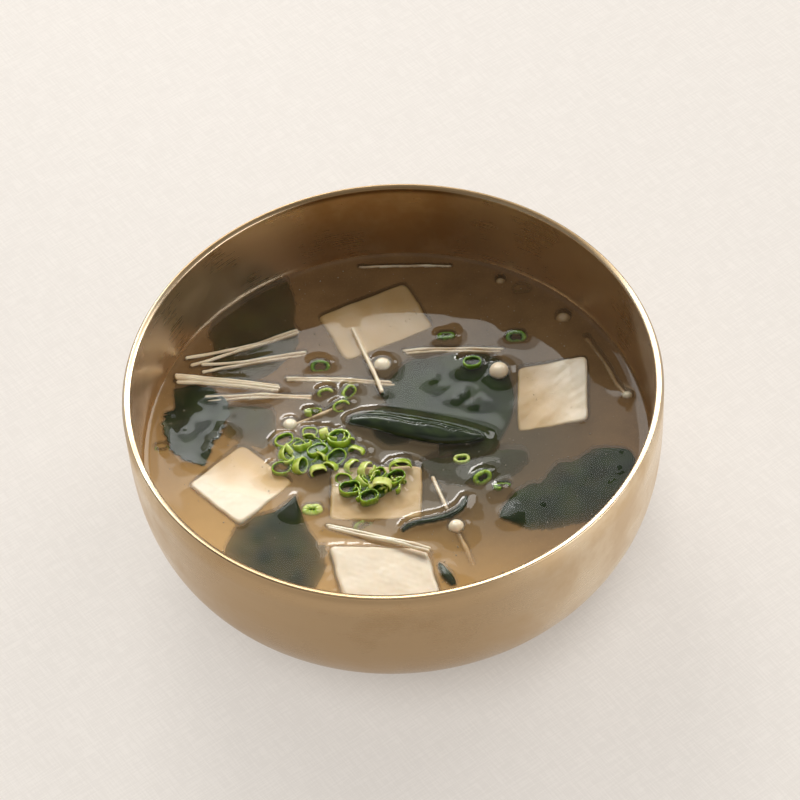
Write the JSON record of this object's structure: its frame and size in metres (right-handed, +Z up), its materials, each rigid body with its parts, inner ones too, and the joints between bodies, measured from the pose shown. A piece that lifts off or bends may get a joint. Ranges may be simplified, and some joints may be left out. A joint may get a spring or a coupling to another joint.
{
  "type": "miso soup in a brass bowl",
  "caption": "Miso soup in a straight-walled satin brass bowl, with cut tofu, dark sea leaves, thin pale mushroom stems and sliced onion greens afloat in cloudy broth.",
  "frame": {"origin": "centre of the bowl's flat base, where it stands", "axes": "+Z up through the bowl's axis; -Y is the side nearest to the eater, +X to the eater's right"},
  "size_m": [0.144, 0.144, 0.054],
  "materials": {
    "brass": "satin, turned and lightly brushed",
    "broth": "cloudy liquid with a wet gloss",
    "tofu": "smooth, moist and soft white",
    "wakame": "wet dark leaf",
    "mushroom": "smooth, pale and moist",
    "onion_green": "crisp cut leaf, moist"
  },
  "bodies": {
    "root": {"bowl": "brass", "cap_centre": "mushroom", "cap_front": "mushroom", "cap_left": "mushroom", "cap_on_leaf": "mushroom", "onion_heap_front": "onion_green", "onion_heap_left": "onion_green", "onion_slice_1": "onion_green", "onion_slice_10": "onion_green", "onion_slice_11": "onion_green", "onion_slice_12": "onion_green", "onion_slice_2": "onion_green", "onion_slice_3": "onion_green", "onion_slice_4": "onion_green", "onion_slice_5": "onion_green", "onion_slice_6": "onion_green", "onion_slice_7": "onion_green", "onion_slice_8": "onion_green", "onion_slice_9": "onion_green", "soup": "broth", "stem_back": "mushroom", "stem_middle": "mushroom", "stem_over_tofu": "mushroom", "stems_centre": "mushroom", "stems_front": "mushroom", "stems_left_back": "mushroom", "stems_left_front": "mushroom", "stems_left_middle": "mushroom", "stems_left_upper": "mushroom", "stems_right": "mushroom", "tofu_back": "tofu", "tofu_front": "tofu", "tofu_left": "tofu", "tofu_middle": "tofu", "tofu_right": "tofu", "wakame_centre": "wakame", "wakame_front": "wakame", "wakame_left": "wakame", "wakame_right": "wakame", "wakame_roll": "wakame", "wakame_strip": "wakame"}
  },
  "joints": []
}
